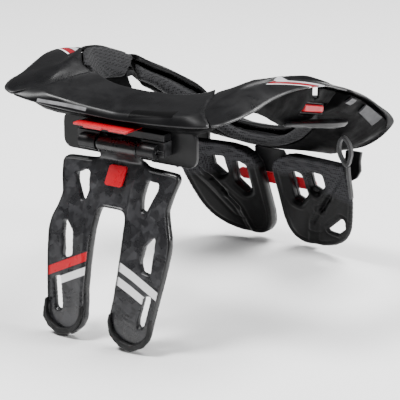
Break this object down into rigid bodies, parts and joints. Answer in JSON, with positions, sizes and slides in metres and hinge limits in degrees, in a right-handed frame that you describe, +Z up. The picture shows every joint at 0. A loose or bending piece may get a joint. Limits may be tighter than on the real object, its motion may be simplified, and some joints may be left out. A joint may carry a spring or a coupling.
{
  "type": "motocross neck brace",
  "caption": "Neck brace for motocross: a moulded shoulder ring with padding, a folding thoracic strut behind and two chest wings on a swinging front half.",
  "frame": {"origin": "centre of the neck opening at the height where the ring is seated on the shoulders", "axes": "+Z up, +Y the way the wearer faces, +X to the wearer's right shoulder"},
  "size_m": [0.2808, 0.3477, 0.2323],
  "materials": {
    "shell_plastic": "satin black moulded",
    "foam": "black covered foam",
    "mesh": "dark grey mesh over foam",
    "strut_plastic": "satin charcoal",
    "rubber": "matt black",
    "red_plastic": "satin red",
    "steel": "brushed",
    "webbing": "woven black"
  },
  "bodies": {
    "rear_half": {"rear_table": "shell_plastic", "shoulder_arm_right": "shell_plastic", "shoulder_arm_left": "shell_plastic", "rear_liner": "foam", "neck_pad_rear": "mesh", "neck_pad_right": "mesh", "neck_pad_left": "mesh", "back_plate": "shell_plastic", "hinge_knuckle_right": "shell_plastic", "hinge_knuckle_left": "shell_plastic", "hinge_bridge": "shell_plastic", "hinge_pin": "steel", "rear_clip": "red_plastic", "lock_housing": "shell_plastic", "lock_tongue": "strut_plastic", "rear_pivot_lug": "shell_plastic", "pivot_pin": "steel"},
    "strut": {"thoracic_strut": "strut_plastic", "strut_bumper_right": "rubber", "strut_bumper_left": "rubber", "strut_badge": "red_plastic"},
    "front_half": {"front_shell": "shell_plastic", "front_liner": "foam", "front_neck_pad": "mesh", "front_pivot_lug": "shell_plastic", "label_plate_right": "strut_plastic", "label_plate_left": "strut_plastic", "side_plate": "strut_plastic", "front_lobe_right": "shell_plastic", "front_lobe_left": "shell_plastic", "chest_bracket": "shell_plastic", "chest_clip": "red_plastic", "chest_pad_right": "foam", "chest_pad_left": "foam", "chest_plate_right": "shell_plastic", "chest_plate_left": "shell_plastic", "strap_loop_right": "webbing", "strap_loop_left": "webbing", "strap_tail_right": "webbing", "strap_tail_left": "webbing"},
    "button": {"lock_button": "red_plastic"}
  },
  "joints": [
    {"name": "strut_fold", "type": "hinge", "parent": "rear_half", "child": "strut", "pos_m": [0, -0.1315, -0.0105], "axis": [1, 0, 0], "range_deg": [-70, 0]},
    {"name": "front_swing", "type": "hinge", "parent": "rear_half", "child": "front_half", "pos_m": [-0.126, 0.044, 0], "axis": [0, 0, 1], "range_deg": [0, 40]},
    {"name": "lock_press", "type": "slide", "parent": "rear_half", "child": "button", "axis": [-1, 0, 0], "range_m": [0, 0.0025], "stiffness_N_per_m": 600, "springref_m": -0.002}
  ]
}
